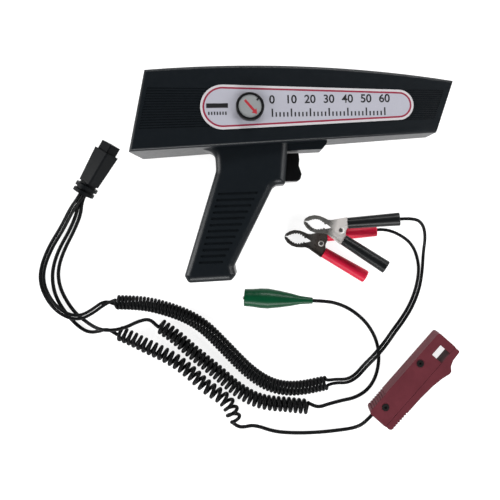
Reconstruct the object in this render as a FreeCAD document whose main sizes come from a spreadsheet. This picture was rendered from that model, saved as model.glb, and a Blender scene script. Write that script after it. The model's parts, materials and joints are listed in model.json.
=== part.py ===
import math
import os

import FreeCAD
import Part

# Inductive timing light with its unplugged lead set, lying on one side.
# Frame: millimetres, +Z up, z = 0 is the surface it lies on, barrel axis along +X.
# Gun parts are drawn in the gun's own frame (z = 0 is the joint of the two shells)
# and turned by the taper angle, so that the far side of the barrel lies flat.

doc = FreeCAD.newDocument("timing_light")
sheet = doc.addObject("Spreadsheet::Sheet", "dims")
sheet.Label = "dims"

ROWS = [
    ("wall", 2.4, "thickness of the gun shells"),
    ("barrel_half", 22.25, "half thickness of the barrel at x = 0"),
    ("barrel_slope", 0.0553, "loss of half thickness per mm along x"),
    ("rear_low_x", -132.3, "rear lower corner of the barrel"),
    ("rear_low_y", -31.7, ""),
    ("rear_top_x", -118.4, "rear upper corner of the barrel"),
    ("rear_top_y", 31.75, ""),
    ("arch_x", 19.7, "point on the arched upper side"),
    ("arch_y", 33.1, ""),
    ("front_top_x", 129.7, "front upper corner of the barrel"),
    ("front_top_y", 21.3, ""),
    ("front_low_x", 113.9, "front lower corner of the barrel"),
    ("front_low_y", -21.3, ""),
    ("barrel_round", 2.6, "rounding of the long edges of the barrel"),
    ("rib_count", 16, "fine grooves on the side of the barrel"),
    ("rib_rear_half", 15.6, "half spread of the grooves at the rear"),
    ("rib_front_half", 11.4, "half spread of the grooves at the front"),
    ("rib_depth", 0.45, "depth of a fine groove"),
    ("label_thick", 0.5, "thickness of the face label"),
    ("label_middle", 1.5, "height of the label middle line"),
    ("label_rear", -76.4, "rear end of the label"),
    ("label_front", 95.4, "front end of the label"),
    ("label_half_rear", 17.6, "half height of the label at the rear"),
    ("label_half_front", 12.2, "half height of the label at the front"),
    ("knob_x", -37.6, "knob axis on the barrel side"),
    ("knob_y", 1.0, ""),
    ("knob_radius", 11.1, "outer radius of the knob"),
    ("knob_height", 5.0, "height of the knob ring"),
    ("cap_radius", 9.0, "radius of the knob cap"),
    ("cap_thick", 0.8, "thickness of the knob cap"),
    ("shaft_radius", 3.0, "radius of the knob shaft"),
    ("handle_half", 16.5, "half thickness of the handle"),
    ("handle_round", 6.0, "rounding of the handle edges"),
    ("groove_count", 12, "grip grooves on each side of the handle"),
    ("groove_width", 2.2, "width of a grip groove"),
    ("groove_depth", 0.8, "depth of a grip groove"),
    ("trigger_half", 8.0, "half width of the trigger"),
    ("slot_gap", 0.4, "gap round the trigger and the knob parts"),
    ("lens_thick", 2.5, "thickness of the front lens"),
    ("board_thick", 1.6, "thickness of the circuit board"),
    ("tube_radius", 2.5, "radius of the flash tube"),
    ("battery_cord", 2.8, "diameter of each battery strand"),
    ("signal_cord", 3.1, "diameter of the signal and pickup leads"),
    ("battery_coil_size", 12.9, "outer diameter of the battery coil"),
    ("signal_coil_size", 13.4, "outer diameter of the signal coil"),
    ("pickup_coil_size", 13.2, "outer diameter of the pickup coil"),
    ("connector_turn", 58.0, "heading of the connector in degrees"),
    ("connector_roll", 25.0, "roll of the connector in degrees"),
    ("connector_height", 10.4, "height of the connector axis"),
    ("connector_length", 48.6, "length of the connector"),
    ("clip_half", 5.2, "half width of a battery clip"),
    ("clip_sheet", 1.0, "sheet thickness of a battery clip"),
    ("clip_angle", 18.7, "angle of each clip handle to the clip axis in degrees"),
    ("arm_length", 43.0, "length of a clip sleeve"),
    ("red_turn", -13.5, "heading of the red clip in degrees"),
    ("black_turn", -16.2, "heading of the black clip in degrees"),
    ("black_tilt", 8.0, "tilt of the black clip lying over the red one"),
    ("black_height", 20.5, "height of the black clip pivot"),
    ("red_height", 5.7, "height of the red clip pivot"),
    ("boot_length", 58.6, "length of the green boot"),
    ("clamp_turn", 46.7, "heading of the inductive clamp in degrees"),
    ("clamp_thick", 17.0, "thickness of the inductive clamp"),
    ("clamp_left", 12.4, "left side of the clamp case"),
    ("clamp_seam", -6.0, "seam between case and sliding jaw"),
    ("clamp_head", 93.4, "head end of the clamp"),
    ("aperture_low", 75.2, "rear side of the clamp aperture"),
    ("aperture_high", 86.2, "front side of the clamp aperture"),
    ("aperture_left", 4.6, "left side of the clamp aperture"),
]
for number, row in enumerate(ROWS, start=1):
    sheet.set("A%d" % number, row[0])
    sheet.set("B%d" % number, str(row[1]))
    sheet.set("C%d" % number, row[2])
    sheet.setAlias("B%d" % number, row[0])
doc.recompute()


def dim(alias):
    """Plain number of one row of the sheet."""
    return float(sheet.get(alias))


def vec(x, y, z=0.0):
    return FreeCAD.Vector(x, y, z)


def place(x, y, z, turn=0.0, tilt=0.0, roll=0.0):
    """Placement from a position and yaw, pitch, roll in degrees."""
    return FreeCAD.Placement(vec(x, y, z), FreeCAD.Rotation(turn, tilt, roll))


TAPER = math.degrees(math.atan(dim("barrel_slope")))
GUN = place(0, 0, dim("barrel_half") * math.cos(math.radians(TAPER)), 0, TAPER, 0)
SIDE = GUN.multiply(place(0, 0, dim("barrel_half"), 0, TAPER, 0))


# ---------------------------------------------------------------- helpers

def corner_edges(points, radii=0.0):
    """Closed outline as lines and arcs, its corners rounded."""
    count = len(points)
    if not isinstance(radii, (list, tuple)):
        radii = [radii] * count
    starts = []
    ends = []
    arcs = []
    for i in range(count):
        here = vec(*points[i])
        before = vec(*points[i - 1])
        after = vec(*points[(i + 1) % count])
        one = before - here
        two = after - here
        one.normalize()
        two.normalize()
        angle = one.getAngle(two)
        if radii[i] <= 0 or abs(angle - math.pi) < 0.02:
            starts.append(here)
            ends.append(here)
            arcs.append(None)
            continue
        reach = radii[i] / math.tan(angle / 2)
        first = here + one * reach
        last = here + two * reach
        half = one + two
        half.normalize()
        centre = here + half * (radii[i] / math.sin(angle / 2))
        middle = centre - half * radii[i]
        starts.append(first)
        ends.append(last)
        arcs.append(Part.Arc(first, middle, last))
    edges = []
    for i in range(count):
        if arcs[i] is not None:
            edges.append(arcs[i])
        j = (i + 1) % count
        if (starts[j] - ends[i]).Length > 1e-6:
            edges.append(Part.LineSegment(ends[i], starts[j]))
    return edges


def outline_face(points, radii=0.0):
    edges = [item.toShape() for item in corner_edges(points, radii)]
    return Part.Face(Part.Wire(Part.__sortEdges__(edges)))


def slab(points, low, high, radii=0.0):
    """Straight prism between two heights."""
    face = outline_face(points, radii)
    face.translate(vec(0, 0, low))
    return face.extrude(vec(0, 0, high - low))


def origin_plane(body, role):
    for item in body.Origin.OriginFeatures:
        if item.Role == role:
            return item
    return None


def prisms(label, placement, steps):
    """PartDesign body made of pads and pockets on planes parallel to XY.

    Each step is (kind, outline, radii, base, height); base and height are expressions.
    """
    body = doc.addObject("PartDesign::Body", label)
    body.Label = label
    for number, step in enumerate(steps):
        kind, points, radii, base, height = step
        sketch = body.newObject("Sketcher::SketchObject", "%s_sketch_%d" % (label, number))
        sketch.AttachmentSupport = [(origin_plane(body, "XY_Plane"), "")]
        sketch.MapMode = "FlatFace"
        sketch.setExpression("AttachmentOffset.Base.z", base)
        for item in corner_edges(points, radii):
            sketch.addGeometry(item, False)
        doc.recompute()
        if kind == "add":
            feature = body.newObject("PartDesign::Pad", "%s_pad_%d" % (label, number))
        else:
            feature = body.newObject("PartDesign::Pocket", "%s_pocket_%d" % (label, number))
            feature.Reversed = True
        feature.Profile = sketch
        feature.setExpression("Length", height)
        doc.recompute()
    body.Placement = placement
    nodes.append(body)
    return body


def turned(label, placement, profile):
    """PartDesign body turned about its own Z axis from a profile of (radius, height)."""
    body = doc.addObject("PartDesign::Body", label)
    body.Label = label
    sketch = body.newObject("Sketcher::SketchObject", label + "_profile")
    sketch.AttachmentSupport = [(origin_plane(body, "XZ_Plane"), "")]
    sketch.MapMode = "FlatFace"
    for item in corner_edges(profile, 0.0):
        sketch.addGeometry(item, False)
    doc.recompute()
    feature = body.newObject("PartDesign::Revolution", label + "_revolution")
    feature.Profile = sketch
    feature.ReferenceAxis = (sketch, ["V_Axis"])
    feature.Angle = 360.0
    doc.recompute()
    body.Placement = placement
    nodes.append(body)
    return body


def solid(label, shape, placement=None):
    """Sub-part whose shape comes from Part functions."""
    item = doc.addObject("Part::Feature", label)
    item.Label = label
    item.Shape = shape
    if placement is not None:
        item.Placement = placement
    nodes.append(item)
    return item


def joined(shapes):
    result = shapes[0]
    if len(shapes) > 1:
        result = shapes[0].fuse(shapes[1:])
    return result.removeSplitter()


def box(x0, x1, y0, y1, z0, z1):
    return Part.makeBox(x1 - x0, y1 - y0, z1 - z0, vec(x0, y0, z0))


def rod(radius, start, end):
    """Straight cylinder between two points."""
    line = end - start
    return Part.makeCylinder(radius, line.Length, start, line)


nodes = []

# ---------------------------------------------------------------- gun outlines

LOWER_LEFT = (dim("rear_low_x"), dim("rear_low_y"))
UPPER_LEFT = (dim("rear_top_x"), dim("rear_top_y"))
UPPER_RIGHT = (dim("front_top_x"), dim("front_top_y"))
LOWER_RIGHT = (dim("front_low_x"), dim("front_low_y"))

HANDLE = [(-80.0, -23.0), (-78.0, -29.0), (-67.2, -33.0), (-66.8, -47.0), (-95.0, -131.0),
          (-91.8, -136.8), (-57.4, -136.2), (-53.7, -131.7), (-54.9, -124.7),
          (-21.5, -62.0), (-18.5, -60.0), (-11.2, -59.5), (-7.4, -23.0)]
HANDLE_ROUND = [0, 2, 8, 12, 3, 3, 3, 2, 3, 2, 2, 1.5, 0]
PLATE = [(-60.0, -33.6), (20.1, -31.9), (24.1, -27.1), (24.4, -20.0), (-60.0, -20.0)]


def arched_face(inset):
    """Side outline of the barrel, drawn in by the inset."""
    arc = Part.Arc(vec(*UPPER_LEFT), vec(dim("arch_x"), dim("arch_y")), vec(*UPPER_RIGHT))
    edges = [arc.toShape()]
    edges.append(Part.makeLine(vec(*UPPER_RIGHT), vec(*LOWER_RIGHT)))
    edges.append(Part.makeLine(vec(*LOWER_RIGHT), vec(*LOWER_LEFT)))
    edges.append(Part.makeLine(vec(*LOWER_LEFT), vec(*UPPER_LEFT)))
    face = Part.Face(Part.Wire(edges))
    if inset > 0:
        face = face.makeOffset2D(-inset)
    return face


def taper_block(inset):
    """Wedge that sets the thickness of the barrel."""
    corners = []
    for x, side in ((-150.0, -1), (150.0, -1), (150.0, 1), (-150.0, 1)):
        half = dim("barrel_half") - dim("barrel_slope") * x - inset
        corners.append(vec(x, -60.0, side * half))
    corners.append(corners[0])
    face = Part.Face(Part.makePolygon(corners))
    return face.extrude(vec(0, 120.0, 0))


def barrel(inset, radius):
    face = arched_face(inset)
    face.translate(vec(0, 0, -40.0))
    body = face.extrude(vec(0, 0, 80.0)).common(taper_block(inset))
    if radius > 0:
        edges = []
        for edge in body.Edges:
            size = edge.BoundBox
            if size.XLength > 100.0:
                edges.append(edge)
            elif size.ZLength < 6.0 and size.YLength > 50.0:
                edges.append(edge)
        body = body.makeFillet(radius, edges)
    return body


def grip(inset, radius):
    face = outline_face(HANDLE, HANDLE_ROUND)
    if inset > 0:
        face = face.makeOffset2D(-inset)
    half = dim("handle_half") - inset
    face.translate(vec(0, 0, -half))
    body = face.extrude(vec(0, 0, 2 * half))
    if radius > 0:
        edges = []
        for edge in body.Edges:
            size = edge.BoundBox
            if size.ZLength < 0.01 and abs(abs(size.Center.z) - half) < 0.01:
                if size.YMin < -27.0 or size.XLength < 30.0:
                    edges.append(edge)
        body = body.makeFillet(radius, edges)
    return body


GAP = dim("slot_gap")
WALL = dim("wall")
TRIGGER_HALF = dim("trigger_half")
barrel_outside = barrel(0.0, dim("barrel_round"))
handle_outside = grip(0.0, dim("handle_round"))
plate_outside = slab(PLATE, -12.0, 12.0, [0, 2, 2, 0, 0])
outside = joined([barrel_outside, handle_outside, plate_outside])
barrel_inside = barrel(WALL, 0.0)
handle_inside = grip(WALL, 0.0)
throat = box(-58.0, -16.0, -40.0, -22.0, -handle_inside.BoundBox.ZMax, handle_inside.BoundBox.ZMax)
inside = joined([barrel_inside, handle_inside, throat])
shell = outside.cut(inside)
front_window = arched_face(WALL + 0.8)
front_window.translate(vec(0, 0, -40.0))
front_window = front_window.extrude(vec(0, 0, 80.0)).common(taper_block(WALL + 0.8))
front_window = front_window.common(box(90.0, 140.0, -60.0, 60.0, -40.0, 40.0))
front_window.translate(vec(6.0, 0, 0))
shell = shell.cut(front_window)
slot = slab([(-30.0, -57.6), (6.0, -57.6), (6.0, -33.7), (-30.0, -33.7)],
            -TRIGGER_HALF - GAP, TRIGGER_HALF + GAP)
shell = shell.cut(slot)
socket_hole = slab([(-82.0, -140.0), (-66.0, -140.0), (-66.0, -128.0), (-82.0, -128.0)], -8.0, 8.0)
shell = shell.cut(socket_hole)

# grip grooves across both sides of the handle, each a rounded bar
groove_tools = []
GROOVES = int(dim("groove_count"))
groove_half = dim("groove_width") / 2
for number in range(GROOVES):
    share = number / (GROOVES - 1.0)
    rear_x = -65.6 - 17.0 * share
    front_x = -33.9 - 29.6 * share
    middle_y = -66.1 - 54.4 * share
    bar = [(rear_x, middle_y - groove_half), (front_x, middle_y - groove_half),
           (front_x, middle_y + groove_half), (rear_x, middle_y + groove_half)]
    top = dim("handle_half") - dim("groove_depth")
    groove_tools.append(slab(bar, top, top + 3.0, groove_half * 0.96))
    groove_tools.append(slab(bar, -top - 3.0, -top, groove_half * 0.96))
shell = shell.cut(Part.makeCompound(groove_tools))

# fine converging grooves on the two sides of the barrel
RIBS = int(dim("rib_count"))


def rib_strip(share, start, end):
    """One groove from start to end, narrowing towards the lens."""
    rear_y = dim("label_middle") + share * dim("rib_rear_half")
    front_y = dim("label_middle") + share * dim("rib_front_half")
    corners = []
    for x, side in ((start, -1), (end, -1), (end, 1), (start, 1)):
        along = (x + 122.0) / 242.0
        y = rear_y + (front_y - rear_y) * along
        corners.append((x, y + side * (0.5 - 0.12 * along)))
    return slab(corners, -dim("rib_depth"), 2.0)


near_tools = []
far_tools = []
for number in range(RIBS):
    share = 2.0 * number / (RIBS - 1.0) - 1.0
    middle_y = dim("label_middle") + share * dim("rib_rear_half")
    start = -125.3 + 0.23 * middle_y + 4.6
    end = 121.8 + 0.27 * middle_y - 5.0
    near_tools.append(rib_strip(share, start, end))
    far_tools.append(rib_strip(share, start, dim("label_rear")))
    far_tools.append(rib_strip(share, dim("label_front"), end))
near_ribs = Part.makeCompound(near_tools)
near_ribs.Placement = place(0, 0, dim("barrel_half"), 0, TAPER, 0)
far_ribs = Part.makeCompound(far_tools)
far_ribs.Placement = place(0, 0, dim("barrel_half"), 0, TAPER, 0)
far_ribs = far_ribs.mirror(vec(0, 0, 0), vec(0, 0, 1))
knob_hole = Part.makeCylinder(dim("shaft_radius") + GAP, 12.0, vec(dim("knob_x"), dim("knob_y"), -8.0))
knob_hole.Placement = place(0, 0, dim("barrel_half"), 0, TAPER, 0)
near_half = shell.common(box(-150.0, 150.0, -150.0, 50.0, 0.0, 45.0))
near_half = near_half.cut(near_ribs)
near_half = near_half.cut(knob_hole)
far_half = shell.common(box(-150.0, 150.0, -150.0, 50.0, -45.0, 0.0))
far_half = far_half.cut(far_ribs)

# four screws close the shells from the far side
SCREWS = [(-104.0, 20.0), (-104.0, -20.0), (64.0, 0.5), (-52.0, -100.0)]
boss_far = []
boss_near = []
screw_shapes = []
for number, spot in enumerate(SCREWS):
    half = dim("handle_half")
    if number < 3:
        half = dim("barrel_half") - dim("barrel_slope") * spot[0]
    base = vec(spot[0], spot[1], -half + 1.2)
    boss_far.append(rod(4.2, base, vec(spot[0], spot[1], 0.0)))
    boss_near.append(rod(4.2, vec(spot[0], spot[1], 0.0), vec(spot[0], spot[1], half - 1.2)))
    head = rod(3.0, vec(spot[0], spot[1], -half + 3.0), vec(spot[0], spot[1], -half + 5.4))
    stem = rod(1.5, vec(spot[0], spot[1], -half + 5.4), vec(spot[0], spot[1], 8.0))
    screw_shapes.append(head.fuse(stem).removeSplitter())
    bore = rod(3.05, vec(spot[0], spot[1], -half - 3.0), vec(spot[0], spot[1], -half + 5.4))
    hole = rod(1.5, vec(spot[0], spot[1], -half + 5.4), vec(spot[0], spot[1], 8.0))
    far_half = far_half.fuse(boss_far[-1]).cut(bore).cut(hole)
    near_half = near_half.fuse(boss_near[-1]).cut(hole)
solid("shell_near", near_half.removeSplitter(), GUN)
solid("shell_far", far_half.removeSplitter(), GUN)
solid("case_screws", Part.makeCompound(screw_shapes), GUN)

# ---------------------------------------------------------------- front optics
front_line = vec(*UPPER_RIGHT) - vec(*LOWER_RIGHT)
front_turn = math.degrees(math.atan2(front_line.y, front_line.x)) - 90.0
front_mid = (vec(*UPPER_RIGHT) + vec(*LOWER_RIGHT)) * 0.5
front_axis = place(front_mid.x, front_mid.y, 0, front_turn, 0, 0)
lens_slab = box(-6.5, -6.5 + dim("lens_thick"), -40.0, 40.0, -40.0, 40.0)
lens_slab.Placement = front_axis
lens_block = arched_face(WALL)
lens_block.translate(vec(0, 0, -40.0))
lens_block = lens_block.extrude(vec(0, 0, 80.0)).common(taper_block(WALL))
solid("front_lens", lens_block.common(lens_slab), GUN)
bowl = [(2.0, 0.0), (5.0, 3.0), (8.0, 9.0), (10.0, 16.0), (11.4, 25.0), (10.4, 25.0),
        (9.0, 16.4), (7.0, 9.8), (4.2, 4.0), (2.0, 1.2)]
bowl_place = GUN.multiply(place(front_mid.x - 41.0, 0.0, 0, 0, 90, 0))
turned("reflector", bowl_place, bowl)
tube_shape = rod(dim("tube_radius"), vec(0, 0, 2.0), vec(0, 0, 18.0))
tube_shape = tube_shape.fuse(Part.makeSphere(dim("tube_radius"), vec(0, 0, 18.0)))
tube_shape = tube_shape.cut(rod(dim("tube_radius") - 0.6, vec(0, 0, 3.0), vec(0, 0, 17.5)))
solid("flash_tube", tube_shape, bowl_place)
holder = rod(7.0, vec(0, 0, -6.0), vec(0, 0, -0.0))
holder = holder.fuse(rod(1.95, vec(0, 0, 0.0), vec(0, 0, 2.0)))
solid("tube_holder", holder.removeSplitter(), bowl_place)

# ---------------------------------------------------------------- electronics
prisms("circuit_board", GUN, [
    ("add", [(-96.0, -15.0), (52.0, -12.0), (52.0, 12.0), (-96.0, 17.0)], 2.0, "0 - 3", "dims.board_thick"),
    ("cut", [(-90.0, -10.0), (-86.0, -10.0), (-86.0, -6.0), (-90.0, -6.0)], 1.5, "0 - 4", "6"),
])
capacitor = doc.addObject("Part::Cylinder", "storage_capacitor")
capacitor.Label = "storage_capacitor"
capacitor.setExpression("Radius", "dims.tube_radius * 3")
capacitor.Height = 30.0
capacitor.Placement = GUN.multiply(place(-20.0, 0.0, -3.0 - dim("tube_radius") * 3, 0, 90, 0))
nodes.append(capacitor)
transformer = doc.addObject("Part::Box", "trigger_transformer")
transformer.Label = "trigger_transformer"
transformer.Length = 16.0
transformer.Width = 14.0
transformer.Height = 12.0
transformer.Placement = GUN.multiply(place(24.0, -7.0, -3.0 + dim("board_thick")))
nodes.append(transformer)
prisms("potentiometer", SIDE.multiply(place(dim("knob_x"), dim("knob_y"), 0)), [
    ("add", [(-8.5, -8.5), (8.5, -8.5), (8.5, 8.5), (-8.5, 8.5)], 2.0, "0 - 12", "7"),
    ("add", [(-4.5, -4.5), (4.5, -4.5), (4.5, 4.5), (-4.5, 4.5)], 4.2, "0 - 5", "2.2"),
    ("cut", [(-3.4, -3.4), (3.4, -3.4), (3.4, 3.4), (-3.4, 3.4)], 3.35, "0 - 10", "9"),
    ("add", [(-6.0, -10.5), (6.0, -10.5), (6.0, -8.4), (-6.0, -8.4)], 0.0, "0 - 11.6", "1"),
])
prisms("trigger_switch", GUN, [
    ("add", [(-42.0, -56.0), (-30.0, -56.0), (-30.0, -38.0), (-42.0, -38.0)], 0.8, "0 - 4.5", "9"),
    ("add", [(-30.1, -54.4), (-28.5, -54.4), (-28.5, -51.0), (-30.1, -51.0)], 0.0, "0 - 1.5", "3"),
])
SOCKET_X = -74.0
PIN = 1.0
socket_steps = [
    ("add", [(-81.8, -136.4), (-66.2, -136.2), (-66.2, -122.0), (-81.8, -122.0)], 0.0, "0 - 7.8", "15.6"),
    ("cut", [(-80.3, -137.0), (-67.7, -137.0), (-67.7, -125.0), (-80.3, -125.0)], 0.0, "0 - 6.3", "12.6"),
]
pins = []
for offset_x in (-3.0, 3.0):
    for offset_z in (-3.0, 3.0):
        x = SOCKET_X + offset_x
        pins.append(rod(PIN, vec(x, -120.0, offset_z), vec(x, -130.5, offset_z)))
        room = PIN + 0.02
        hole = [(x - room, -126.0), (x + room, -126.0), (x + room, -121.0), (x - room, -121.0)]
        socket_steps.append(("cut", hole, 0.0, "%.2f" % (offset_z - room) if offset_z > 0
                             else "0 - %.2f" % (room - offset_z), "%.2f" % (2 * room)))
prisms("power_socket", GUN, socket_steps)
solid("socket_pins", Part.makeCompound(pins), GUN)


def route_edges(points):
    """Straight runs joined by tangent arcs."""
    spots = [vec(*point) for point in points]
    edges = []
    start = spots[0]
    radii = []
    for i in range(1, len(spots) - 1):
        one = spots[i - 1] - spots[i]
        two = spots[i + 1] - spots[i]
        shorter = min(one.Length, two.Length)
        one.normalize()
        two.normalize()
        turn = math.pi - one.getAngle(two)
        if turn < 0.01:
            continue
        reach = 0.45 * shorter
        radius = reach / math.tan(turn / 2)
        radii.append(radius)
        half = one + two
        half.normalize()
        centre = spots[i] + half * (radius / math.cos(turn / 2))
        first = spots[i] + one * reach
        last = spots[i] + two * reach
        edges.append(Part.LineSegment(start, first).toShape())
        edges.append(Part.Arc(first, centre - half * radius, last).toShape())
        start = last
    edges.append(Part.LineSegment(start, spots[-1]).toShape())
    return edges, radii


def cord(label, points, diameter):
    """Plain tube along a route, with its length and tightest bend printed."""
    edges, radii = route_edges(points)
    wire = Part.Wire(edges)
    heading = vec(*points[1]) - vec(*points[0])
    circle = Part.Wire(Part.Circle(vec(*points[0]), heading, diameter / 2).toShape())
    tube = wire.makePipeShell([circle], True, False)
    share = tube.Volume / (wire.Length * math.pi * diameter * diameter / 4)
    tightest = min(radii) if radii else 0.0
    print("%-22s length %7.1f  tightest %5.1f  volume share %.3f  low %.2f" % (
        label, wire.Length, tightest, share, tube.optimalBoundingBox(True, False).ZMin))
    return solid(label, tube)


def beside(points, shift):
    """Route shifted to the left of its heading, seen from above."""
    shifted = []
    for i in range(len(points)):
        a = vec(*points[max(i - 1, 0)])
        b = vec(*points[i])
        c = vec(*points[min(i + 1, len(points) - 1)])
        one = b - a
        two = c - b
        one.z = 0
        two.z = 0
        if one.Length > 0:
            one.normalize()
        if two.Length > 0:
            two.normalize()
        mean = one + two
        mean.normalize()
        left = vec(-mean.y, mean.x)
        scale = 1.0
        if one.Length > 0 and two.Length > 0:
            scale = 1.0 / max(math.cos(one.getAngle(two) / 2), 0.5)
        spot = b + left * (shift * scale)
        shifted.append((spot.x, spot.y, spot.z))
    return shifted


harness = [(-74.0, -118.0, 8.0), (-60.0, -90.0, 9.0), (-50.0, -62.0, 9.0), (-50.0, -34.0, 5.0),
           (-54.0, -16.0, 1.5)]
harness_edges = route_edges(harness)[0]
harness_ring = Part.Wire(Part.Circle(vec(*harness[0]), vec(14.0, 28.0, 1.0), 2.0).toShape())
solid("inner_wiring", Part.Wire(harness_edges).makePipeShell([harness_ring], True, False), GUN)

# ---------------------------------------------------------------- label, knob, trigger
LOW = dim("label_half_rear")
HIGH = dim("label_half_front")
MIDDLE = dim("label_middle")
REAR_C = dim("label_rear") + LOW
FRONT_C = dim("label_front") - HIGH
label_rear_disc = Part.makeCylinder(LOW, dim("label_thick"), vec(REAR_C, MIDDLE, 0))
label_front_disc = Part.makeCylinder(HIGH, dim("label_thick"), vec(FRONT_C, MIDDLE, 0))
lean = math.asin((LOW - HIGH) / (FRONT_C - REAR_C))
SN = math.sin(lean)
CS = math.cos(lean)
middle_part = slab([(REAR_C + LOW * SN, MIDDLE - LOW * CS), (FRONT_C + HIGH * SN, MIDDLE - HIGH * CS),
                    (FRONT_C + HIGH * SN, MIDDLE + HIGH * CS), (REAR_C + LOW * SN, MIDDLE + LOW * CS)],
                   0.0, dim("label_thick"))
label_shape = joined([label_rear_disc, middle_part, label_front_disc])
label_hole = Part.makeCylinder(dim("shaft_radius") + GAP, 4.0, vec(dim("knob_x"), dim("knob_y"), -1.0))
solid("face_label", label_shape.cut(label_hole), SIDE)

knob_place = SIDE.multiply(place(dim("knob_x"), dim("knob_y"), dim("label_thick") + GAP))
K = dim("knob_radius")
C = dim("cap_radius")
S = dim("shaft_radius")
H = dim("knob_height")
turned("advance_knob", knob_place, [(S, 0.0), (K, 0.0), (K, H - 1.0), (K - 0.7, H), (C, H),
                                    (C, H - 1.4), (S, H - 1.4)])
knob_cap = doc.addObject("Part::Cylinder", "knob_cap")
knob_cap.Label = "knob_cap"
knob_cap.setExpression("Radius", "dims.cap_radius - 0.05")
knob_cap.setExpression("Height", "dims.cap_thick")
knob_cap.Placement = knob_place.multiply(place(0, 0, H - 1.4))
nodes.append(knob_cap)
knob_shaft = doc.addObject("Part::Cylinder", "knob_shaft")
knob_shaft.Label = "knob_shaft"
knob_shaft.setExpression("Radius", "dims.shaft_radius")
knob_shaft.Height = H - 1.4 + 9.6
knob_shaft.Placement = knob_place.multiply(place(0, 0, -9.6))
nodes.append(knob_shaft)

prisms("trigger", GUN, [
    ("add", [(-9.6, -34.2), (0.9, -34.2), (1.3, -39.5), (0.7, -44.5), (2.8, -51.5), (1.6, -55.6),
             (-0.8, -57.1), (-9.6, -57.1)], [0, 1, 0, 0, 2, 2, 1, 0],
     "0 - dims.trigger_half", "dims.trigger_half * 2"),
    ("add", [(-23.0, -57.1), (-9.5, -57.1), (-9.5, -34.2), (-23.0, -34.2)], 0.0,
     "0 - dims.trigger_half", "dims.trigger_half * 2"),
    ("cut", [(-23.5, -55.0), (-14.0, -55.0), (-14.0, -36.4), (-23.5, -36.4)], 0.0,
     "2 - dims.trigger_half", "dims.trigger_half * 2 - 4"),
])


def spring_shape(radius, wire, pitch, length):
    """Helical compression spring along +Z from the origin."""
    helix = Part.makeHelix(pitch, length, radius)
    ring = Part.Wire(Part.Circle(vec(radius, 0, 0), vec(0, 1, pitch / (2 * math.pi * radius)),
                                 wire / 2).toShape())
    return Part.Wire(helix).makePipeShell([ring], True, True)


trigger_spring_place = GUN.multiply(place(-14.4, -45.5, 0, 0, -90, 0))
solid("trigger_spring", spring_shape(3.0, 0.8, 3.1, 14.6), trigger_spring_place)

# ---------------------------------------------------------------- connector
TURN = dim("connector_turn")
ahead = vec(math.cos(math.radians(TURN)), math.sin(math.radians(TURN)))
across = vec(-ahead.y, ahead.x)
connector_end = vec(-184.2, -60.2, dim("connector_height"))
connector_place = FreeCAD.Placement(connector_end, FreeCAD.Rotation(TURN, 0, 0))
connector_place = connector_place.multiply(place(0, 0, 0, 0, 0, -dim("connector_roll")))


def square_ring(half_y, half_z, x, radius=1.6):
    """Rounded rectangle in a plane across the connector axis."""
    edges = [item.toShape() for item in corner_edges(
        [(-half_y, -half_z), (half_y, -half_z), (half_y, half_z), (-half_y, half_z)], radius)]
    wire = Part.Wire(Part.__sortEdges__(edges))
    turn = FreeCAD.Rotation(vec(0, 1, 0), vec(0, 0, 1), vec(1, 0, 0), "XYZ")
    wire.Placement = FreeCAD.Placement(vec(x, 0, 0), turn)
    return wire


body_loft = Part.makeLoft([square_ring(6.7, 6.2, 10.0), square_ring(8.2, 7.5, 40.6)], True)
solid("connector_body", body_loft, connector_place)
nose_rings = [square_ring(6.0, 6.0, reach, 1.0) for reach in (40.6, dim("connector_length"))]
nose_outer = Part.makeLoft(nose_rings, True)
pockets = []
for side in (-2.7, 2.7):
    for level in (-2.7, 2.7):
        pockets.append(rod(1.5, vec(42.0, side, level), vec(49.0, side, level)))
solid("connector_nose", nose_outer.cut(Part.makeCompound(pockets)), connector_place)
contacts = []
for side in (-2.7, 2.7):
    for level in (-2.7, 2.7):
        outer = rod(1.4, vec(42.0, side, level), vec(47.8, side, level))
        contacts.append(outer.cut(rod(0.95, vec(43.0, side, level), vec(48.0, side, level))))
solid("connector_contacts", Part.makeCompound(contacts), connector_place)
relief = [rod(9.1, vec(0, 0, 0), vec(2.8, 0, 0)), rod(7.6, vec(2.8, 0, 0), vec(5.0, 0, 0)),
          rod(9.6, vec(5.0, 0, 0), vec(7.8, 0, 0)), rod(7.0, vec(7.8, 0, 0), vec(10.0, 0, 0))]
solid("connector_relief", joined(relief), connector_place)


def exit_point(shift, lift, reach=0.0):
    """Point on the relief's end face, or beyond it along the connector axis."""
    spot = connector_end + across * shift - ahead * reach
    return (spot.x, spot.y, spot.z + lift)


# ---------------------------------------------------------------- cords
RED = place(18.2, -110.1, dim("red_height"), dim("red_turn"), 0, 0)
BLACK = place(34.9, -99.1, dim("black_height"), dim("black_turn"), -dim("black_tilt"), 0)
arm_reach = 4.0 + dim("arm_length") * math.cos(math.radians(dim("clip_angle")))
arm_side = 7.2 + dim("arm_length") * math.sin(math.radians(dim("clip_angle")))


def clip_point(frame, reach=0.0):
    """Point on the end of the upper sleeve of a clip, or beyond it along the sleeve."""
    angle = math.radians(dim("clip_angle"))
    spot = frame.multVec(vec(arm_reach + reach * math.cos(angle), arm_side + reach * math.sin(angle), 0))
    return (spot.x, spot.y, spot.z)


B = dim("battery_cord") / 2 + 0.05
L = dim("signal_cord") / 2 + 0.05
CA = dim("battery_coil_size") / 2 + 0.1
CB = dim("signal_coil_size") / 2 + 0.1
CC = dim("pickup_coil_size") / 2 + 0.1
HUMP = 7.6
OVER = 18.2

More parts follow.
